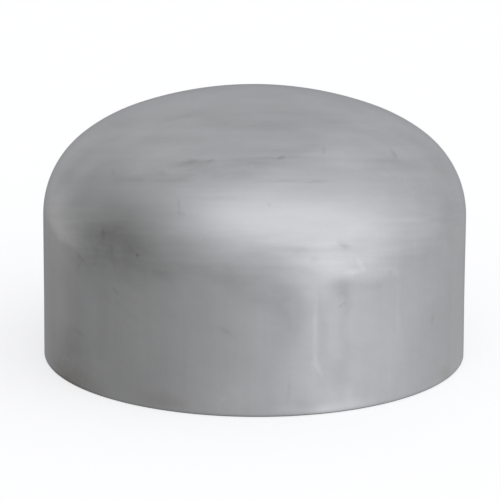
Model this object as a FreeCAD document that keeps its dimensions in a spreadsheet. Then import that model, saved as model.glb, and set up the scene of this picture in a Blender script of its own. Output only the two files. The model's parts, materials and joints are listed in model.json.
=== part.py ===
"""Butt-weld pipe cap, DN 50, pressed in one piece from stainless steel plate.

The cap is a shell of revolution about +Z: a straight skirt with the diameter of the pipe that it
closes, a knuckle, a shoulder and a shallow crown. The outer profile is three tangent arcs above the
skirt, and the inner profile is parallel to it, one wall thickness inside. The rim is cut square,
as on any cap whose wall is too thin for a weld bevel, and both its corners are lightly deburred.

Frame: millimetres, origin at the centre of the rim plane, +Z towards the crown.
"""

import FreeCAD, Part
import math
import os
import Sketcher

# Driving dimensions in millimetres: alias, value, meaning.
DIMENSIONS = [
    ("outside_diameter", 60.3, "outside diameter of a DN 50 pipe"),
    ("wall_thickness", 2.77, "schedule 10S wall"),
    ("overall_length", 38.0, "rim plane to the outside of the crown"),
    ("skirt_length", 20.6, "straight cylindrical stretch above the rim"),
    ("knuckle_radius", 13.3, "outer arc next to the skirt"),
    ("shoulder_radius", 21.0, "outer arc between knuckle and crown"),
    ("crown_radius", 52.4, "outer arc over the axis"),
    ("rim_chamfer", 0.3, "deburring of the rim's two corners"),
]

# Sketcher's own numbers for the origin point, the vertical axis and the points of an edge.
AXES = -1
VERTICAL_AXIS = -2
START, END, CENTRE = 1, 2, 3


def make_sheet(doc):
    """The spreadsheet that every size is bound to."""
    sheet = doc.addObject("Spreadsheet::Sheet", "sizes")
    for row, (alias, value, meaning) in enumerate(DIMENSIONS, start=1):
        sheet.set(f"A{row}", meaning)
        sheet.set(f"B{row}", str(value))
        sheet.setAlias(f"B{row}", alias)
    doc.recompute()
    return sheet


def origin_feature(body, role):
    """The plane or axis of the body's own origin that has this role."""
    return next(f for f in body.Origin.OriginFeatures if f.Role == role)


def dome_arcs(sheet, inset):
    """Centre, radius and end angles of the knuckle, shoulder and crown, moved inwards by inset.

    The knuckle starts level on the skirt and the crown ends square to the axis. The two angles
    between them follow from the triangle of arc centres: one side runs from the knuckle's centre
    to the shoulder's, the next from the shoulder's to the crown's.
    """
    outer_radius = sheet.outside_diameter / 2
    first = sheet.shoulder_radius - sheet.knuckle_radius
    second = sheet.crown_radius - sheet.shoulder_radius
    across = outer_radius - sheet.knuckle_radius
    down = sheet.skirt_length + sheet.crown_radius - sheet.overall_length
    reach = math.hypot(across, down)
    bend = math.acos((reach**2 - first**2 - second**2) / (2 * first * second))
    slope = math.atan2(down, across)
    knuckle_end = slope - math.atan2(second * math.sin(bend), first + second * math.cos(bend))
    shoulder_end = knuckle_end + bend
    knuckle = FreeCAD.Vector(across, sheet.skirt_length, 0)
    to_shoulder = FreeCAD.Vector(math.cos(knuckle_end), math.sin(knuckle_end), 0)
    shoulder = knuckle - to_shoulder * first
    crown = FreeCAD.Vector(0, sheet.overall_length - sheet.crown_radius, 0)
    return [
        (knuckle, sheet.knuckle_radius - inset, 0.0, knuckle_end),
        (shoulder, sheet.shoulder_radius - inset, knuckle_end, shoulder_end),
        (crown, sheet.crown_radius - inset, shoulder_end, math.pi / 2),
    ]


def half_section(body, sheet, name, inset, inset_formula):
    """A sketch of the region between the axis and the profile that lies inset inside the outer one.

    Edges: 0 rim, 1 skirt, 2 knuckle, 3 shoulder, 4 crown, 5 axis.
    """
    sketch = body.newObject("Sketcher::SketchObject", name)
    sketch.AttachmentSupport = [(origin_feature(body, "XZ_Plane"), "")]
    sketch.MapMode = "FlatFace"

    radius = sheet.outside_diameter / 2 - inset
    height = sheet.overall_length - inset
    base = FreeCAD.Vector(0, 0, 0)
    rim_corner = FreeCAD.Vector(radius, 0, 0)
    skirt_top = FreeCAD.Vector(radius, sheet.skirt_length, 0)
    apex = FreeCAD.Vector(0, height, 0)
    normal = FreeCAD.Vector(0, 0, 1)

    sketch.addGeometry(Part.LineSegment(base, rim_corner))
    sketch.addGeometry(Part.LineSegment(rim_corner, skirt_top))
    for centre, arc_radius, begin, end in dome_arcs(sheet, inset):
        circle = Part.Circle(centre, normal, arc_radius)
        sketch.addGeometry(Part.ArcOfCircle(circle, begin, end))
    sketch.addGeometry(Part.LineSegment(apex, base))

    add = sketch.addConstraint
    add(Sketcher.Constraint("Coincident", 0, START, AXES, START))
    add(Sketcher.Constraint("Horizontal", 0))
    add(Sketcher.Constraint("Coincident", 0, END, 1, START))
    add(Sketcher.Constraint("Vertical", 1))
    for lower, upper in ((1, 2), (2, 3), (3, 4)):
        add(Sketcher.Constraint("Tangent", lower, END, upper, START))
    add(Sketcher.Constraint("PointOnObject", 4, CENTRE, VERTICAL_AXIS))
    add(Sketcher.Constraint("Coincident", 4, END, 5, START))
    add(Sketcher.Constraint("Vertical", 5))
    add(Sketcher.Constraint("Coincident", 5, END, 0, START))

    sized = [
        ("radius", ("DistanceX", 0, START, 0, END, radius), "sizes.outside_diameter / 2"),
        ("skirt", ("DistanceY", 1, START, 1, END, sheet.skirt_length), "sizes.skirt_length"),
        ("height", ("DistanceY", 0, START, 4, END, height), "sizes.overall_length"),
        ("knuckle", ("Radius", 2, sheet.knuckle_radius - inset), "sizes.knuckle_radius"),
        ("shoulder", ("Radius", 3, sheet.shoulder_radius - inset), "sizes.shoulder_radius"),
        ("crown", ("Radius", 4, sheet.crown_radius - inset), "sizes.crown_radius"),
    ]
    for label, arguments, formula in sized:
        index = add(Sketcher.Constraint(*arguments))
        sketch.renameConstraint(index, label)
        if label != "skirt":
            formula += inset_formula
        sketch.setExpression(f"Constraints.{label}", formula)
    return sketch


def rim_edges(shape, tolerance=1e-6):
    """Names of the circular edges in the rim plane."""
    return [
        f"Edge{number}"
        for number, edge in enumerate(shape.Edges, start=1)
        if abs(edge.BoundBox.ZMin) < tolerance and abs(edge.BoundBox.ZMax) < tolerance
    ]


def make_cap_shell(doc, sheet):
    """The whole cap: a turned outer solid, hollowed from the rim side, with its rim deburred."""
    body = doc.addObject("PartDesign::Body", "cap_shell")
    body.Label = "cap_shell"

    outside = half_section(body, sheet, "outer_section", 0.0, "")
    turned = body.newObject("PartDesign::Revolution", "turned_blank")
    turned.Profile = outside
    turned.ReferenceAxis = (outside, ["V_Axis"])
    turned.Angle = 360
    doc.recompute()

    inside = half_section(
        body, sheet, "hollow_section", sheet.wall_thickness, " - sizes.wall_thickness"
    )
    hollow = body.newObject("PartDesign::Groove", "hollow")
    hollow.Profile = inside
    hollow.ReferenceAxis = (inside, ["V_Axis"])
    hollow.Angle = 360
    doc.recompute()

    deburr = body.newObject("PartDesign::Chamfer", "rim_deburr")
    deburr.Base = (hollow, rim_edges(hollow.Shape))
    deburr.setExpression("Size", "sizes.rim_chamfer")
    body.Tip = deburr
    doc.recompute()
    body.Placement = FreeCAD.Placement()
    return body, turned, hollow, deburr


def check(doc, bodies, steps):
    """Stops if an object failed, a shape is unusable or a cutting feature took nothing away."""
    doc.recompute()
    for item in doc.Objects:
        if "Invalid" in item.State or "Error" in item.State:
            raise RuntimeError(f"{item.Name} failed: {item.State}")
    for body in bodies:
        if body.Shape.isNull() or not body.Shape.isValid() or len(body.Shape.Solids) != 1:
            raise RuntimeError(f"{body.Label} is not one valid solid")
    volumes = [step.Shape.Volume for step in steps]
    if volumes != sorted(volumes, reverse=True) or len(set(volumes)) != len(volumes):
        raise RuntimeError(f"a feature of the cap removed no material: {volumes}")


def export(bodies):
    """One STEP file for each sub-part, named after its label."""
    os.makedirs("parts", exist_ok=True)
    for body in bodies:
        body.Shape.exportStep(f"parts/{body.Label}.step")
        box = body.Shape.optimalBoundingBox(False, False)
        size = (round(box.XLength, 3), round(box.YLength, 3), round(box.ZLength, 3))
        print(body.Label, size, "mm,", round(body.Shape.Volume / 1000, 3), "cm3")


def main():
    doc = FreeCAD.newDocument("pipe_cap")
    sheet = make_sheet(doc)
    cap_shell, *steps = make_cap_shell(doc, sheet)
    check(doc, [cap_shell], steps)
    export([cap_shell])


main()
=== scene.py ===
"""Looks of the butt-weld pipe cap: one pressed stainless steel shell, satin outside, standing on its rim.

Everything is in metres, in the row frame: origin at the centre of the rim plane, +Z towards the crown.
The cap is a dense lathed skin with the press's unevenness and a few shallow dents in its mesh. Its
outside, its inside and its cut rim each have a procedural steel of their own. A soft studio surrounds
it, on a plain pale floor.
"""

import json
import math

import bmesh
import bpy
from mathutils import Matrix, Vector, noise


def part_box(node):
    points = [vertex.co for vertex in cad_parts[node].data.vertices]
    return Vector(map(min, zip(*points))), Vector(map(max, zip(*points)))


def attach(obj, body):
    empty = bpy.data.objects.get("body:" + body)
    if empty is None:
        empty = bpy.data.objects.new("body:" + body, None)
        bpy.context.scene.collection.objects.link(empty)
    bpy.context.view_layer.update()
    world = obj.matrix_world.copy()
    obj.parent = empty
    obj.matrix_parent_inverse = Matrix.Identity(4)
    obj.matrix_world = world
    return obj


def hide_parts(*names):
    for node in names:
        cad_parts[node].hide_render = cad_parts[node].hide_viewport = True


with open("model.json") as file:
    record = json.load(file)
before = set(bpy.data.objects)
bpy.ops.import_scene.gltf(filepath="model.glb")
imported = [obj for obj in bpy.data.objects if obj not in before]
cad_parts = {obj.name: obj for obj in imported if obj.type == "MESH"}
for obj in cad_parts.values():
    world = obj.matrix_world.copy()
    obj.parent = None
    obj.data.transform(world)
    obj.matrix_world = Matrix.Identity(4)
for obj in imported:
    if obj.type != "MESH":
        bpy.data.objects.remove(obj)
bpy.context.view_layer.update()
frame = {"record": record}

MM = 0.001

# ---------------------------------------------------------------------------------------------
# Sizes
# ---------------------------------------------------------------------------------------------

MOUNTS = {mount["name"]: mount for mount in frame["record"]["mounts"]}
LOW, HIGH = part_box("cap_shell")
OUTER_RADIUS = MOUNTS["outside_diameter"]["dims"]["r_mm"] * MM
WALL = OUTER_RADIUS - MOUNTS["pipe_bore"]["dims"]["r_mm"] * MM
HEIGHT = HIGH.z - LOW.z
SKIRT_LENGTH = 20.6 * MM
KNUCKLE_RADIUS = 13.3 * MM
SHOULDER_RADIUS = 21.0 * MM
CROWN_RADIUS = 52.4 * MM
RIM_CORNER = 0.16 * MM
# The skin's outside lies this far inside the CAD solid's, so that it never passes the CAD box.
SKIN_INSET = 0.01 * MM

# The mesh: faces around, the spacing of its rings up the outside and the inside, and the rings round
# one corner of the rim and across the rim's face.
SEGMENTS = 400
OUTSIDE_STEP = 0.45 * MM
INSIDE_STEP = 0.8 * MM
CORNER_STEPS = 4
RIM_STEPS = 4

# The order of the cap's materials.
OUTSIDE, INSIDE, RIM = 0, 1, 2

# The press left gentle waves of two lengths in the outside. The trimmed end is true: the waves and
# dents fade in above it.
LONG_WAVE = 13 * MM
LONG_WAVE_DEPTH = 0.030 * MM
SHORT_WAVE = 5 * MM
SHORT_WAVE_DEPTH = 0.010 * MM
TRUE_END = 2 * MM
TRUE_END_FADE = 6 * MM

# Shallow dents in the outside: degrees right of the front, millimetres up the wall from the rim,
# half length and half width in millimetres, degrees turned counterclockwise from level or, on the
# dome, from the polishing strokes, and depth in millimetres.
DENTS = [
    # Where the knuckle starts: under the bright knee, on the left and in the dark hollow. Below: one
    # on the skirt.
    (25, 22.4, 4.8, 1.6, 5, 0.26),
    (-62, 23.4, 4.0, 1.2, -5, 0.08),
    (-43, 19.8, 3.5, 2.0, 10, 0.10),
    (6, 17.5, 4.5, 1.8, -50, 0.05),
    # Round the back.
    (-112, 22.0, 5.0, 1.8, 0, 0.16),
    (118, 23.5, 4.0, 1.6, 0, 0.18),
    (158, 20.5, 3.5, 2.2, 25, 0.10),
    (-160, 25.0, 5.5, 1.7, 0, 0.16),
]
# How fast a dent's depth falls off, and how far from its middle it is worked out.
DENT_FALLOFF = 0.7
DENT_REACH = 20 * MM

# Marks painted into the colour of the outside's satin: partly real stains, smudges, scratches and
# pits, partly painted highlights, painted reflections and painted shade of the lit steel. Place, half
# sizes and turn as for a dent, then how much lighter or darker the colour is there. A warm mark also
# yellows it a little. The broad ones are on the mesh, the fine ones in nodes.
NEUTRAL = (1.0, 1.0, 1.0)
WARM = (0.85, 1.0, 1.2)
BROAD_MARKS = [
    # Where the knuckle starts: a painted highlight at the bright knee, and the painted light and shade that
    # run off it.
    (24, 19.4, 3.4, 1.2, 0, 0.13, NEUTRAL),
    (12, 19.0, 3.0, 1.0, -25, 0.10, NEUTRAL),
    (36, 19.0, 2.2, 0.7, -5, 0.10, NEUTRAL),
    (33, 21.5, 2.0, 1.6, 0, 0.06, NEUTRAL),
    (31, 18.0, 3.5, 0.6, 0, -0.06, NEUTRAL),
    (10, 24.0, 1.8, 0.6, -5, -0.06, NEUTRAL),
    # Painted shade along the lower edge of the highlight.
    (-12, 20.2, 6.0, 0.7, -10, -0.05, NEUTRAL),
    (-5, 18.5, 2.6, 1.4, -40, -0.07, NEUTRAL),
    (-27, 19.7, 3.6, 1.0, -5, -0.10, NEUTRAL),
    # Painted shade in the dark hollow on the left, and a painted reflection in the bright curve beside it.
    (-30, 21.5, 3.5, 1.5, -15, -0.07, NEUTRAL),
    (-41, 22.0, 5.0, 2.2, -15, -0.15, NEUTRAL),
    (-42, 19.5, 3.0, 2.0, 0, -0.08, NEUTRAL),
    (-44, 23.5, 2.5, 1.0, 0, -0.11, NEUTRAL),
    (-50, 19.5, 2.2, 2.0, 0, -0.08, NEUTRAL),
    (-58, 20.8, 3.2, 0.8, -15, 0.13, NEUTRAL),
    # Smudges down the skirt.
    (4, 17.0, 3.0, 1.7, -30, -0.10, NEUTRAL),
    (8, 13.0, 3.4, 1.7, 90, -0.12, NEUTRAL),
    (24, 17.3, 1.2, 1.0, 0, -0.16, NEUTRAL),
    (25, 15.5, 1.2, 0.6, 90, -0.08, NEUTRAL),
    (18, 11.0, 4.5, 0.6, 90, -0.05, NEUTRAL),
    (24, 11.0, 4.0, 0.7, 90, -0.06, NEUTRAL),
    (23, 5.0, 1.8, 1.1, -55, -0.08, NEUTRAL),
    (-33, 10.0, 5.5, 4.0, 90, 0.05, NEUTRAL),
    (-36, 18.0, 3.0, 1.4, 0, -0.07, NEUTRAL),
    (-46, 16.0, 3.5, 1.5, -30, -0.05, NEUTRAL),
    # Along the rim: darker patches, the warm ones partly real heat tint, with painted shade of the dark
    # floor at the cap's foot, and bright patches that are painted reflections.
    (-61, 4.5, 5.0, 3.2, 0, -0.15, NEUTRAL),
    (-60, 1.0, 5.5, 1.6, 0, -0.22, WARM),
    (-24, 1.5, 2.6, 1.0, 0, -0.12, WARM),
    (-6, 2.5, 3.0, 1.4, 0, 0.06, NEUTRAL),
    (13, 1.0, 1.5, 0.8, 0, -0.10, NEUTRAL),
    (20, 0.5, 5.0, 0.8, 0, 0.20, NEUTRAL),
    (26, 2.0, 1.3, 0.6, 80, 0.09, NEUTRAL),
    (63, 1.0, 1.6, 1.2, 0, -0.13, WARM),
    # Smudges along the dome's polishing strokes.
    (-3, 36.8, 6.5, 0.8, 0, -0.13, NEUTRAL),
    (-15, 34.8, 5.0, 0.8, 0, -0.13, NEUTRAL),
    (-36, 33.0, 3.0, 0.6, 0, -0.06, NEUTRAL),
    (4, 39.5, 4.0, 1.0, 0, -0.06, NEUTRAL),
    (22, 39.5, 2.8, 1.0, 0, -0.11, NEUTRAL),
    (-22, 47.0, 7.0, 1.7, 5, -0.10, NEUTRAL),
    (40, 46.5, 4.5, 1.4, -5, -0.05, NEUTRAL),
    (0, 52.0, 7.0, 1.6, 0, -0.05, NEUTRAL),
    (-58, 46.0, 3.0, 0.8, 15, -0.06, NEUTRAL),
    (37, 35.3, 5.5, 0.6, 0, 0.10, NEUTRAL),
    (34, 37.5, 5.0, 1.0, 0, 0.06, NEUTRAL),
    # Lighter and darker patches on both shoulders: painted highlights and painted shade, with some haze in
    # the steel.
    (-26, 25.5, 4.5, 1.2, 0, 0.06, NEUTRAL),
    (-52, 43.0, 5.0, 2.5, 5, 0.11, NEUTRAL),
    (-40, 37.5, 4.2, 2.0, 0, 0.11, NEUTRAL),
    (-80, 38.0, 3.0, 2.5, 0, -0.08, NEUTRAL),
    (-56, 30.5, 3.2, 2.0, 30, -0.08, NEUTRAL),
    (-73, 28.5, 3.0, 2.0, 45, -0.06, NEUTRAL),
    (48, 40.0, 4.2, 1.8, -5, 0.08, NEUTRAL),
    (58, 43.0, 2.6, 1.2, 0, 0.06, NEUTRAL),
    (54, 33.6, 4.0, 1.0, 0, -0.12, NEUTRAL),
    (56, 28.5, 6.5, 2.6, -15, -0.10, NEUTRAL),
    (77, 30.0, 3.0, 2.6, 0, -0.08, NEUTRAL),
    # Round the back.
    (100, 21.0, 4.0, 1.0, -10, 0.13, NEUTRAL),
    (122, 9.0, 6.0, 1.0, 90, -0.10, NEUTRAL),
    (140, 1.0, 4.0, 1.4, 0, -0.16, WARM),
    (150, 22.5, 2.5, 1.6, 10, -0.14, NEUTRAL),
    (176, 35.0, 5.5, 0.6, 0, -0.10, NEUTRAL),
    (-168, 17.0, 3.5, 2.6, 30, -0.08, NEUTRAL),
    (-128, 1.0, 3.0, 1.2, 0, 0.13, NEUTRAL),
    (-118, 24.5, 4.6, 1.0, 0, 0.12, NEUTRAL),
    (-101, 11.0, 4.6, 1.2, 90, -0.10, NEUTRAL),
    (160, 41.0, 5.0, 2.6, 0, 0.07, NEUTRAL),
]
FINE_MARKS = [
    # Where the knuckle starts: the knee's hook, a painted highlight, and the smudges in the highlight.
    (27, 19.8, 1.1, 0.3, 0, 0.12, NEUTRAL),
    (29, 20.5, 1.0, 0.3, 120, 0.08, NEUTRAL),
    (24, 23.7, 0.8, 0.4, -20, -0.13, NEUTRAL),
    (16, 22.0, 0.7, 0.35, -5, -0.09, NEUTRAL),
    (13, 23.4, 2.6, 0.4, -5, -0.07, NEUTRAL),
    (2, 24.6, 3.0, 0.5, 0, 0.05, NEUTRAL),
    (38, 18.6, 0.5, 0.35, -35, -0.06, NEUTRAL),
    # The bright curve on the left, a painted reflection, and the scuffs beside the dark hollow.
    (-67, 21.0, 3.0, 0.5, -30, 0.09, NEUTRAL),
    (-58, 20.5, 2.6, 0.4, 0, 0.10, NEUTRAL),
    (-53, 19.0, 1.0, 0.35, -25, -0.11, WARM),
    (-53, 18.0, 0.8, 0.3, 55, -0.08, WARM),
    (-44, 23.0, 1.1, 0.35, 90, -0.08, NEUTRAL),
    (-40, 21.4, 1.0, 0.3, 90, -0.05, NEUTRAL),
    (-34, 22.4, 0.9, 0.3, -55, -0.05, NEUTRAL),
    # Drawing marks and scratches down the skirt.
    (16, 12.0, 4.0, 0.35, 90, 0.10, NEUTRAL),
    (17, 6.8, 1.2, 0.3, -70, 0.11, NEUTRAL),
    (14, 17.4, 0.9, 0.4, -35, 0.06, NEUTRAL),
    (41, 13.0, 3.0, 0.4, 90, 0.05, NEUTRAL),
    (55, 10.0, 0.6, 0.3, 90, -0.08, NEUTRAL),
    (9, 4.0, 1.6, 0.2, 90, -0.06, NEUTRAL),
    (-8, 2.5, 0.5, 0.2, 20, 0.09, NEUTRAL),
    (-7, 12.0, 1.0, 0.3, -25, -0.08, NEUTRAL),
    (-39, 15.8, 0.7, 0.25, -35, -0.10, NEUTRAL),
    (-54, 8.0, 1.3, 0.3, -5, -0.09, NEUTRAL),
    # The long scratch over the dome, with its smudges.
    (-22, 36.5, 1.6, 0.7, 0, -0.15, NEUTRAL),
    (-27, 36.0, 1.6, 0.5, 5, -0.14, NEUTRAL),
    (-17, 37.3, 0.5, 0.3, 30, -0.15, NEUTRAL),
    (-11, 37.4, 3.4, 0.3, 0, -0.07, NEUTRAL),
    (3, 38.3, 3.0, 0.25, 5, -0.09, NEUTRAL),
    (10, 38.4, 0.5, 0.25, 30, -0.18, NEUTRAL),
    (18, 38.1, 2.8, 0.22, 0, -0.07, NEUTRAL),
    # Single strokes over the dome.
    (29, 39.0, 0.9, 0.2, 70, -0.10, NEUTRAL),
    (2, 35.3, 3.6, 0.4, 0, -0.05, NEUTRAL),
    (-32, 33.8, 0.9, 0.35, -10, -0.12, NEUTRAL),
    (-41, 31.8, 2.9, 0.3, 0, -0.08, NEUTRAL),
    (-50, 32.0, 0.8, 0.25, -35, -0.08, NEUTRAL),
    (10, 33.6, 3.2, 0.22, 0, -0.07, NEUTRAL),
    (20, 33.2, 1.2, 0.25, 0, -0.11, NEUTRAL),
    (-28, 32.8, 3.5, 0.3, 5, -0.05, NEUTRAL),
    (-11, 30.6, 2.7, 0.22, 0, -0.07, NEUTRAL),
    (-22, 29.2, 0.9, 0.16, -80, -0.10, NEUTRAL),
    (-21, 28.1, 0.7, 0.16, -35, -0.08, NEUTRAL),
    (57, 35.3, 0.8, 0.35, 75, -0.17, NEUTRAL),
    # Pits.
    (-32, 21.6, 0.22, 0.2, 0, -0.22, WARM),
    (23, 15.1, 0.22, 0.18, 0, -0.14, NEUTRAL),
    (24, 15.4, 0.24, 0.16, 0, -0.14, NEUTRAL),
    (4, 30.0, 0.2, 0.18, 0, -0.12, NEUTRAL),
    # Round the back.
    (171, 12.5, 5.0, 0.3, 90, 0.10, NEUTRAL),
    (-150, 38.5, 6.0, 0.3, 0, -0.12, NEUTRAL),
]
# At how many half sizes a mark fades out, and how far from its middle a broad one is worked out.
FADE_OUT = 2
MARK_REACH = 16 * MM
# A fine mark's least half size square to the surface, so that the steel stays inside it in a dent.
FINE_MARK_DEPTH = 3.0 * MM
# How far the marks' edges wander, over what lengths, and the seed of the broad ones' wander. Without
# a seed, noise_vector would give another wander on each run.
WANDER = 1.1 * MM
BROAD_WANDER_LENGTH = 5 * MM
FINE_WANDER_LENGTH = 3 * MM
WANDER_SEED = 1

# The dome's polishing strokes: how steeply their planes fall towards the middle, and how far from it
# that slope eases off.
STROKE_TILT = 0.29
STROKE_BEND = 6 * MM
# How steeply the skirt's mottles run down to the right, seen from the front.
MOTTLE_SLANT = 0.6


# ---------------------------------------------------------------------------------------------
# The cap's skin
# ---------------------------------------------------------------------------------------------

def dome_arcs():
    """Centre (radius, height), arc radius and end angle of the outer knuckle, shoulder and crown."""
    # The arcs meet tangentially, so their centres are as far apart as their radii differ.
    first = SHOULDER_RADIUS - KNUCKLE_RADIUS
    second = CROWN_RADIUS - SHOULDER_RADIUS
    across = OUTER_RADIUS - KNUCKLE_RADIUS
    down = SKIRT_LENGTH + CROWN_RADIUS - HEIGHT
    reach = math.hypot(across, down)
    bend = math.acos((reach**2 - first**2 - second**2) / (2 * first * second))
    slope = math.atan2(down, across)
    knuckle_end = slope - math.atan2(second * math.sin(bend), first + second * math.cos(bend))
    shoulder_end = knuckle_end + bend
    shoulder_centre = (across - first * math.cos(knuckle_end), SKIRT_LENGTH - first * math.sin(knuckle_end))
    return [
        ((across, SKIRT_LENGTH), KNUCKLE_RADIUS, knuckle_end),
        (shoulder_centre, SHOULDER_RADIUS, shoulder_end),
        ((0.0, HEIGHT - CROWN_RADIUS), CROWN_RADIUS, math.pi / 2),
    ]


def wall_line(inset, step):
    """Points (radius, height, lean) of the profile that lies inset inside the outer one.

    They run from the top of the rim's corner to just short of the axis. Lean is the angle of the
    outward normal above the horizontal.
    """
    radius = OUTER_RADIUS - inset
    straight = SKIRT_LENGTH - RIM_CORNER
    rows = round(straight / step)
    points = [(radius, RIM_CORNER + straight * row / rows, 0.0) for row in range(rows + 1)]
    begin = 0.0
    for (centre_radius, centre_height), arc_radius, end in dome_arcs():
        arc = arc_radius - inset
        rows = round(arc * (end - begin) / step)
        for row in range(1, rows + 1):
            lean = begin + (end - begin) * row / rows
            points.append((centre_radius + arc * math.cos(lean), centre_height + arc * math.sin(lean), lean))
        begin = end
    return points[:-1]


def corner_line(centre_radius, begin, end):
    """Points (radius, height, lean) round one deburred corner of the rim, its ends left out."""
    points = []
    for row in range(1, CORNER_STEPS):
        lean = begin + (end - begin) * row / CORNER_STEPS
        points.append((centre_radius + RIM_CORNER * math.cos(lean), RIM_CORNER * (1 + math.sin(lean)), lean))
    return points


def wall_place(up_wall):
    """Radius, height and lean of the true outside at a distance up the wall from the rim plane."""
    if up_wall <= SKIRT_LENGTH:
        return OUTER_RADIUS, up_wall, 0.0
    left = up_wall - SKIRT_LENGTH
    begin = 0.0
    for (centre_radius, centre_height), arc_radius, end in dome_arcs():
        lean = begin + left / arc_radius
        if lean <= end:
            radius = centre_radius + arc_radius * math.cos(lean)
            return radius, centre_height + arc_radius * math.sin(lean), lean
        left -= arc_radius * (end - begin)
        begin = end
    return 0.0, HEIGHT, math.pi / 2


def mark_frame(right, up_wall, turn):
    """Place of a mark on the outside and its axes: along it, across it and out of the steel.

    With no turn, along is around the skirt, and over the dome it is along the polishing strokes.
    """
    radius, height, lean = wall_place(up_wall * MM)
    side = direction(right, 0)
    outward = side * math.cos(lean) + Vector((0, 0, math.sin(lean)))
    place = side * radius + Vector((0, 0, height))
    fall = STROKE_TILT * place.y / math.hypot(place.y, STROKE_BEND) if place.z > SKIRT_LENGTH else 0.0
    level = Vector((0, -fall, 1)).cross(outward).normalized()
    along = Matrix.Rotation(math.radians(turn), 3, outward) @ level
    return place, Matrix((along, outward.cross(along), outward))


def mark_on_steel(right, up_wall, half_length, half_width, turn):
    """Place of a mark, and the matrix that turns an offset from it into half lengths and widths."""
    centre, axes = mark_frame(right, up_wall, turn)
    sizes = Matrix.Diagonal((1 / (half_length * MM), 1 / (half_width * MM), 0.0))
    return centre, sizes @ axes


def unevenness(place):
    """How far the press left the outside below its true surface at a place, in metres."""
    long_waves = noise.noise(place / LONG_WAVE + Vector((3.1, 0.4, 7.7)))
    short_waves = noise.noise(place / SHORT_WAVE + Vector((9.2, 5.0, 1.3)))
    sink = LONG_WAVE_DEPTH * (1 + long_waves) + SHORT_WAVE_DEPTH * (1 + short_waves)
    for centre, to_mark, depth in DENTS_ON_STEEL:
        offset = place - centre
        if offset.length < DENT_REACH:
            sink += depth * MM * math.exp(-DENT_FALLOFF * (to_mark @ offset).xy.length_squared)
    return sink * min(1.0, max(0.0, (place.z - TRUE_END) / TRUE_END_FADE))


def haze(place):
    """How much lighter or darker each colour is painted at a place by the broad marks: stains, and painted
    highlights, reflections and shade.
    """
    place = place + WANDER * noise.noise_vector(place / BROAD_WANDER_LENGTH)
    total = Vector((0, 0, 0))
    for centre, to_mark, change in BROAD_MARKS_ON_STEEL:
        offset = place - centre
        if offset.length < MARK_REACH:
            nearness = max(0.0, 1 - (to_mark @ offset).xy.length / FADE_OUT)
            total += change * nearness**2 * (3 - 2 * nearness)
    return total


def direction(right, up):
    """Unit vector to a place right of the front (the -Y side) and up, both in degrees."""
    right, up = math.radians(right), math.radians(up)
    return Vector((math.cos(up) * math.sin(right), -math.cos(up) * math.cos(right), math.sin(up)))


def build_cap():
    """The cap as one closed mesh: outside, rim and inside, each with its own material."""
    outer = OUTER_RADIUS - SKIN_INSET
    inner = OUTER_RADIUS - WALL
    outer_corner = corner_line(outer - RIM_CORNER, 0.0, -math.pi / 2)
    inner_corner = corner_line(inner + RIM_CORNER, -math.pi / 2, -math.pi)
    rim_width = outer - inner - 2 * RIM_CORNER
    rim = [
        (outer - RIM_CORNER - rim_width * row / RIM_STEPS, 0.0, -math.pi / 2)
        for row in range(RIM_STEPS + 1)
    ]
    rings = [(point, OUTSIDE) for point in reversed(wall_line(SKIN_INSET, OUTSIDE_STEP))]
    rings += [(point, RIM) for point in outer_corner + rim + inner_corner]
    rings += [(point, INSIDE) for point in wall_line(WALL, INSIDE_STEP)]

    mesh = bmesh.new()
    top = Vector((0, 0, HEIGHT - SKIN_INSET))
    # Each vertex of the outside holds the broad marks' colour change: stains, and painted highlights,
    # reflections and shade.
    hazes = mesh.verts.layers.float_vector.new("haze")
    crown_top = mesh.verts.new((0, 0, top.z - unevenness(top)))
    hollow_top = mesh.verts.new((0, 0, HEIGHT - WALL))
    ring_verts = []
    for (radius, height, lean), zone in rings:
        ring = []
        for segment in range(SEGMENTS):
            angle = 2 * math.pi * segment / SEGMENTS
            side = Vector((math.cos(angle), math.sin(angle), 0))
            place = side * radius + Vector((0, 0, height))
            outward = side * math.cos(lean) + Vector((0, 0, math.sin(lean)))
            change = Vector((0, 0, 0))
            if zone == OUTSIDE:
                change = haze(place)
                place -= unevenness(place) * outward
            vert = mesh.verts.new(place)
            vert[hazes] = change
            ring.append(vert)
        ring_verts.append(ring)

    def smooth_face(verts, zone):
        face = mesh.faces.new(verts)
        face.smooth = True
        face.material_index = zone

    for segment in range(SEGMENTS):
        following = (segment + 1) % SEGMENTS
        smooth_face((crown_top, ring_verts[0][segment], ring_verts[0][following]), OUTSIDE)
        smooth_face((hollow_top, ring_verts[-1][following], ring_verts[-1][segment]), INSIDE)
        for upper, lower, (_, zone) in zip(ring_verts, ring_verts[1:], rings[1:]):
            smooth_face((upper[segment], lower[segment], lower[following], upper[following]), zone)

    data = bpy.data.meshes.new("pipe_cap")
    mesh.to_mesh(data)
    mesh.free()
    cap = bpy.data.objects.new("pipe_cap", data)
    bpy.context.scene.collection.objects.link(cap)
    return cap


# ---------------------------------------------------------------------------------------------
# Node helpers
# ---------------------------------------------------------------------------------------------

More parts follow.
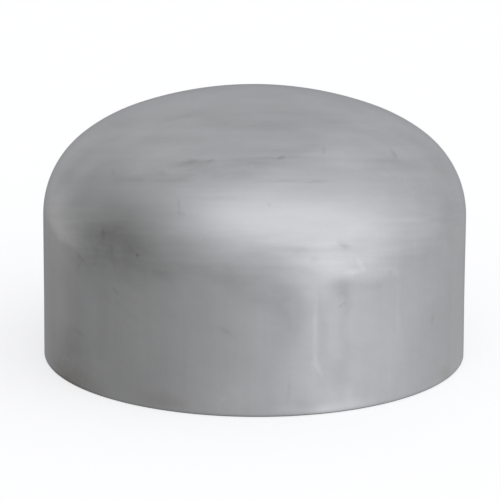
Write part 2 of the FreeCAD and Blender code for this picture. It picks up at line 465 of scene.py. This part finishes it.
class Tree:
    """Adds nodes to one node tree and links them, with plain numbers set on the sockets."""

    def __init__(self, tree):
        self.tree = tree
        tree.nodes.clear()

    def add(self, kind, inputs=None, **settings):
        node = self.tree.nodes.new(kind)
        for name, value in settings.items():
            setattr(node, name, value)
        for socket, value in (inputs or {}).items():
            if isinstance(value, bpy.types.NodeSocket):
                self.tree.links.new(value, node.inputs[socket])
            else:
                node.inputs[socket].default_value = value
        return node

    def math(self, operation, *values):
        return self.add("ShaderNodeMath", dict(enumerate(values)), operation=operation).outputs[0]

    def vector(self, operation, *values):
        node = self.add("ShaderNodeVectorMath", dict(enumerate(values)), operation=operation)
        return node.outputs["Value" if operation in ("DOT_PRODUCT", "LENGTH") else "Vector"]

    def scaled(self, vector, factor):
        node = self.add("ShaderNodeVectorMath", {0: vector, "Scale": factor}, operation="SCALE")
        return node.outputs["Vector"]

    def noise(self, place, stretch, detail, roughness):
        """Noise between 0 and 1 whose features are as many metres long as stretch says, per axis."""
        place = self.vector("DIVIDE", place, stretch)
        inputs = {"Vector": place, "Scale": 1.0, "Detail": detail, "Roughness": roughness}
        return self.add("ShaderNodeTexNoise", inputs).outputs[0]

    def remap(self, value, low, high, to_low=0.0, to_high=1.0):
        """Value moved smoothly from low..high to to_low..to_high, and held at both ends."""
        inputs = {"Value": value, "From Min": low, "From Max": high, "To Min": to_low, "To Max": to_high}
        return self.add("ShaderNodeMapRange", inputs, interpolation_type="SMOOTHSTEP").outputs["Result"]

    def varied(self, value, pattern, amount):
        """Value made lighter and darker, by the amount in all, where a 0 to 1 pattern is high or low."""
        return self.math("MULTIPLY_ADD", self.math("SUBTRACT", pattern, 0.5), amount, value)

    def blend(self, factor, first, second):
        inputs = {"Factor": factor, "A": first, "B": second}
        return self.add("ShaderNodeMix", inputs, data_type="FLOAT").outputs[0]

    def metal(self, base, roughness, relief, strength, depth):
        """Bare metal on the material's output, its relief standing as many metres high as depth says."""
        bump = self.add("ShaderNodeBump", {"Strength": strength, "Distance": depth, "Height": relief})
        shader = self.add(
            "ShaderNodeBsdfPrincipled",
            {"Base Color": base, "Metallic": 1.0, "Roughness": roughness, "Normal": bump.outputs[0]},
        )
        self.add("ShaderNodeOutputMaterial", {"Surface": shader.outputs[0]})


def material(name):
    made = bpy.data.materials.new(name)
    made.use_nodes = True
    return made, Tree(made.node_tree)


# ---------------------------------------------------------------------------------------------
# Steels
# ---------------------------------------------------------------------------------------------

SATIN_GREY = (0.565, 0.565, 0.565)
STAINED_GREY = (0.46, 0.455, 0.45, 1)
PICKLED_GREY = (0.53, 0.53, 0.53, 1)
CUT_GREY = (0.56, 0.56, 0.56)


def marks_on(tree, place):
    """Sum of all the marks as a colour: stains, smudges and scratches, and painted highlights, reflections
    and shade. The fine ones are soft lines and spots with uneven edges.
    """
    total = tree.add("ShaderNodeAttribute", attribute_name="haze").outputs["Vector"]
    inputs = {"Vector": place, "Scale": 1 / FINE_WANDER_LENGTH, "Detail": 2.0}
    uneven = tree.add("ShaderNodeTexNoise", inputs)
    shift = tree.vector("SUBTRACT", uneven.outputs["Color"], (0.5, 0.5, 0.5))
    wandering_place = tree.vector("ADD", place, tree.scaled(shift, WANDER))
    for right, up_wall, half_length, half_width, turn, change, tint in FINE_MARKS:
        centre, axes = mark_frame(right, up_wall, turn)
        size = Vector((half_length * MM, half_width * MM, max(half_length * MM, FINE_MARK_DEPTH)))
        inputs = {
            "Vector": wandering_place, "Location": centre,
            "Rotation": axes.transposed().to_euler(), "Scale": FADE_OUT * size,
        }
        offset = tree.add("ShaderNodeMapping", inputs, vector_type="TEXTURE").outputs[0]
        spot = tree.add("ShaderNodeTexGradient", {"Vector": offset}, gradient_type="SPHERICAL")
        strength = tree.remap(spot.outputs["Fac"], 0.0, 1.0)
        total = tree.vector("ADD", total, tree.scaled(Vector(tint) * change, strength))
    # The marks are patchy, mostly from three quarters to five quarters of their strength.
    patches = tree.noise(place, (2.2 * MM, 1.0 * MM, 1.0 * MM), 2.0, 0.6)
    return tree.scaled(total, tree.math("MULTIPLY_ADD", patches, 1.2, 0.4))


def satin_steel():
    """Outside: satin stainless with straight polishing strokes over the dome and drawing marks below."""
    made, tree = material("satin_stainless")
    place = tree.add("ShaderNodeTexCoord").outputs["Object"]
    parts = tree.add("ShaderNodeSeparateXYZ", {0: place})
    x, y, height = parts.outputs["X"], parts.outputs["Y"], parts.outputs["Z"]
    on_dome = tree.remap(height, SKIRT_LENGTH - 1 * MM, SKIRT_LENGTH + 6 * MM)

    # A stroke lies in a plane through the X axis' direction, tilted a little down towards the middle.
    from_middle = tree.math("SQRT", tree.math("MULTIPLY_ADD", y, y, STROKE_BEND**2))
    level = tree.math("MULTIPLY_ADD", from_middle, -STROKE_TILT, height)
    stroke_place = tree.add("ShaderNodeCombineXYZ", {0: x, 1: level, 2: y}).outputs[0]
    broad_strokes = tree.noise(stroke_place, (24 * MM, 2.8 * MM, 30 * MM), 2.0, 0.5)
    fine_strokes = tree.noise(stroke_place, (26 * MM, 0.75 * MM, 30 * MM), 2.0, 0.6)
    strokes = tree.blend(0.4, broad_strokes, fine_strokes)
    drawing = tree.noise(place, (1.5 * MM, 1.5 * MM, 22 * MM), 3.0, 0.6)
    level_marks = tree.noise(place, (10 * MM, 10 * MM, 0.9 * MM), 2.0, 0.5)
    # A mottle keeps to one value of this, so on the front it falls as X grows.
    slanted = tree.math("MULTIPLY_ADD", x, MOTTLE_SLANT, height)
    slanted_place = tree.add("ShaderNodeCombineXYZ", {0: x, 1: y, 2: slanted}).outputs[0]
    mottles = tree.noise(slanted_place, (4 * MM, 4 * MM, 1.3 * MM), 3.0, 0.6)
    clouds = tree.noise(place, (11 * MM, 6 * MM, 6 * MM), 3.0, 0.55)
    wisps = tree.noise(stroke_place, (6 * MM, 0.8 * MM, 9 * MM), 3.0, 0.6)
    grain = tree.noise(place, (0.5 * MM, 0.35 * MM, 0.35 * MM), 2.0, 0.6)

    skirt_pattern = tree.math("MULTIPLY", drawing, 0.45)
    skirt_pattern = tree.math("MULTIPLY_ADD", level_marks, 0.2, skirt_pattern)
    skirt_pattern = tree.math("MULTIPLY_ADD", mottles, 0.35, skirt_pattern)
    pattern = tree.blend(on_dome, skirt_pattern, strokes)
    contrast = tree.remap(height, 24 * MM, 34 * MM, 0.17, 0.33)
    shade = tree.varied(1.0, pattern, contrast)
    cloudiness = tree.remap(height, 24 * MM, 34 * MM, 0.17, 0.30)
    shade = tree.varied(shade, clouds, cloudiness)
    shade = tree.varied(shade, grain, 0.05)
    wispiness = tree.math(
        "MULTIPLY",
        tree.remap(height, 17 * MM, 21 * MM, 0.0, 0.20),
        tree.remap(height, 24 * MM, 30 * MM, 1.0, 0.0),
    )
    shade = tree.varied(shade, wisps, wispiness)
    # Painted shade: the colour is darker in a band just above the deburred corner, where the cap stands on
    # the floor.
    shade = tree.math("ADD", shade, tree.remap(height, 0.15 * MM, 0.50 * MM, -0.10, 0.0))
    tone = tree.add("ShaderNodeCombineXYZ", {0: shade, 1: shade, 2: shade}).outputs[0]
    tone = tree.vector("ADD", tone, marks_on(tree, place))
    base = tree.vector("MULTIPLY", tone, SATIN_GREY)

    roughness = tree.math("MULTIPLY_ADD", pattern, 0.05, 0.268)
    roughness = tree.math("MULTIPLY_ADD", clouds, 0.015, roughness)
    relief = tree.math("MULTIPLY_ADD", grain, 0.25, pattern)
    tree.metal(base, roughness, relief, 0.6, 0.006 * MM)
    return made


def pickled_steel():
    """Inside: matt, pickled stainless with a fine orange-peel grain and faint heat colour."""
    made, tree = material("pickled_stainless")
    place = tree.add("ShaderNodeTexCoord").outputs["Object"]
    clouds = tree.noise(place, (7 * MM, 7 * MM, 7 * MM), 3.0, 0.6)
    grain = tree.noise(place, (0.45 * MM, 0.45 * MM, 0.45 * MM), 3.0, 0.6)
    peel = tree.noise(place, (1.6 * MM, 1.6 * MM, 1.6 * MM), 2.0, 0.5)
    stain = tree.remap(clouds, 0.35, 0.7)
    # A colour mix has its two colours on sockets 6 and 7, and its result on output 2.
    mixed = {"Factor": stain, 6: STAINED_GREY, 7: PICKLED_GREY}
    tint = tree.add("ShaderNodeMix", mixed, data_type="RGBA").outputs[2]
    fleck = tree.math("MULTIPLY_ADD", grain, 0.24, 0.88)
    base = tree.scaled(tint, fleck)
    roughness = tree.math("MULTIPLY_ADD", peel, 0.16, 0.42)
    relief = tree.math("MULTIPLY_ADD", grain, 0.4, peel)
    tree.metal(base, roughness, relief, 0.7, 0.03 * MM)
    return made


def cut_steel():
    """Rim: turned square, with fine rings of tool marks, burnished stretches and painted shade that darkens
    the deburred corners.
    """
    made, tree = material("cut_stainless")
    place = tree.add("ShaderNodeTexCoord").outputs["Object"]
    flat = tree.vector("MULTIPLY", place, (1.0, 1.0, 0.0))
    reach = tree.vector("LENGTH", flat)
    # The tool marks depend on the distance from the axis, and change only slowly around it.
    ring_place = tree.add("ShaderNodeCombineXYZ", {0: reach, 1: 0.0, 2: 0.0}).outputs[0]
    ring_place = tree.vector("ADD", ring_place, tree.scaled(flat, 0.004))
    rings = tree.noise(ring_place, (0.10 * MM, 0.10 * MM, 0.10 * MM), 3.0, 0.65)
    wear = tree.noise(place, (5 * MM, 5 * MM, 5 * MM), 3.0, 0.6)
    shade = tree.math("MULTIPLY_ADD", rings, 0.20, 0.86)
    shade = tree.math("MULTIPLY_ADD", wear, 0.12, shade)
    height = tree.add("ShaderNodeSeparateXYZ", {0: place}).outputs["Z"]
    # Painted shade: everything of the rim above its flat face, the deburred corners, is darkened to a little
    # over half.
    shade = tree.math("MULTIPLY", shade, tree.remap(height, 0.0, 0.04 * MM, 1.0, 0.55))
    base = tree.scaled(CUT_GREY, shade)
    roughness = tree.math("MULTIPLY_ADD", wear, 0.12, 0.28)
    tree.metal(base, roughness, rings, 0.7, 0.008 * MM)
    return made


# ---------------------------------------------------------------------------------------------
# Studio
# ---------------------------------------------------------------------------------------------

COOL = (1.0, 1.01, 1.08)
WHITE = (1.0, 1.0, 1.0)
CREAM = (1.0, 0.985, 0.95)
# Soft sources far around the cap: strength, tint, tightness, degrees right of the front, degrees up.
# A negative strength is a dark flag.
SOFT_SOURCES = [
    # Panels: on the right, overhead, behind, and a low narrow one just right of the front.
    (0.49, COOL, 3, 60, 18),
    (0.54, COOL, 5, -6, 47),
    (0.10, COOL, 3, 165, 60),
    (0.39, COOL, 30, 37, 0),
    # Flags: on the left, on the floor behind left and behind, up behind, and under the cap.
    (-0.28, COOL, 3, -70, 12),
    (-0.90, WHITE, 14, -134, -35),
    (-0.40, WHITE, 30, 180, -15),
    (-0.04, WHITE, 6, 180, 15),
    (-0.35, WHITE, 5, 0, -90),
    # The pale strip of the wall that the left edge mirrors.
    (0.35, CREAM, 25, -132, -16),
]
# The room's own light, the least light from any direction, and the wall that the camera sees.
ROOM = (0.540, 0.544, 0.560)
DARKEST = (0.2, 0.2, 0.2)
PALE = (0.93, 0.93, 0.93)

FLOOR_HALF_WIDTH = 3.0
FLOOR_GREY = (0.55, 0.55, 0.55, 1)
FLOOR_GLOW = 0.58
FLOOR_GAP = 0.05 * MM

# The camera: its lens in millimetres, its distance in outer radii, how many degrees it looks down,
# its roll in radians, and how far left of the axis and below the middle of a radius it aims.
LENS = 263.3
DISTANCE_IN_RADII = 17.34
LOOK_DOWN = 16
ROLL = 0.005
AIM_LEFT = 0.64 * MM
AIM_BELOW = 0.04 * MM


def studio():
    """World light made of the soft sources. The camera itself sees a plain pale wall above the floor."""
    world = bpy.data.worlds.new("soft_studio")
    world.use_nodes = True
    bpy.context.scene.world = world
    tree = Tree(world.node_tree)
    look = tree.add("ShaderNodeTexCoord").outputs["Generated"]
    light = ROOM
    for strength, tint, tightness, right, up in SOFT_SOURCES:
        facing = tree.vector("DOT_PRODUCT", look, direction(right, up))
        lobe = tree.math("EXPONENT", tree.math("MULTIPLY_ADD", facing, tightness, -tightness))
        light = tree.vector("ADD", tree.scaled(strength * Vector(tint), lobe), light)
    light = tree.vector("MAXIMUM", light, DARKEST)
    seen = tree.add("ShaderNodeLightPath").outputs["Is Camera Ray"]
    # A vector mix has its two vectors on sockets 4 and 5, and its result on output 1.
    shown = tree.add("ShaderNodeMix", {"Factor": seen, 4: light, 5: PALE}, data_type="VECTOR").outputs[1]
    background = tree.add("ShaderNodeBackground", {"Color": shown})
    tree.add("ShaderNodeOutputWorld", {"Surface": background.outputs[0]})


def floor():
    """Pale floor under the rim. The steel doesn't mirror it: the world's lower half stands in for that."""
    mesh = bmesh.new()
    bmesh.ops.create_grid(mesh, x_segments=8, y_segments=8, size=FLOOR_HALF_WIDTH)
    data = bpy.data.meshes.new("floor")
    mesh.to_mesh(data)
    mesh.free()
    board = bpy.data.objects.new("floor", data)
    bpy.context.scene.collection.objects.link(board)
    made, tree = material("pale_floor")
    shader = tree.add(
        "ShaderNodeBsdfPrincipled",
        {
            "Base Color": FLOOR_GREY, "Roughness": 0.9, "Specular IOR Level": 0.0,
            "Emission Color": (1, 1, 1, 1), "Emission Strength": FLOOR_GLOW,
        },
    )
    tree.add("ShaderNodeOutputMaterial", {"Surface": shader.outputs[0]})
    data.materials.append(made)
    board.location.z = LOW.z - FLOOR_GAP
    board.visible_glossy = False


def camera():
    """A long lens in front of the cap, looking down on it."""
    lens = bpy.data.cameras.new("camera")
    lens.lens = LENS
    lens.sensor_width = 36.0
    eye = bpy.data.objects.new("camera", lens)
    bpy.context.scene.collection.objects.link(eye)
    aim = Vector((-AIM_LEFT, 0, LOW.z + OUTER_RADIUS / 2 - AIM_BELOW))
    eye.location = aim + DISTANCE_IN_RADII * OUTER_RADIUS * direction(0, LOOK_DOWN)
    turn = (aim - eye.location).to_track_quat("-Z", "Y").to_matrix().to_4x4()
    eye.matrix_world = Matrix.Translation(eye.location) @ turn @ Matrix.Rotation(ROLL, 4, "Z")
    bpy.context.scene.camera = eye


# Each dent and broad mark, worked out once: its place, the matrix of its sizes, and its strength.
DENTS_ON_STEEL = [(*mark_on_steel(*dent[:5]), dent[5]) for dent in DENTS]
BROAD_MARKS_ON_STEEL = [(*mark_on_steel(*mark[:5]), mark[5] * Vector(mark[6])) for mark in BROAD_MARKS]

camera()
studio()
floor()
noise.seed_set(WANDER_SEED)
cap = build_cap()
for steel in (satin_steel(), pickled_steel(), cut_steel()):
    cap.data.materials.append(steel)
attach(cap, "root")
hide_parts("cap_shell")
bpy.context.scene.view_settings.view_transform = "Standard"
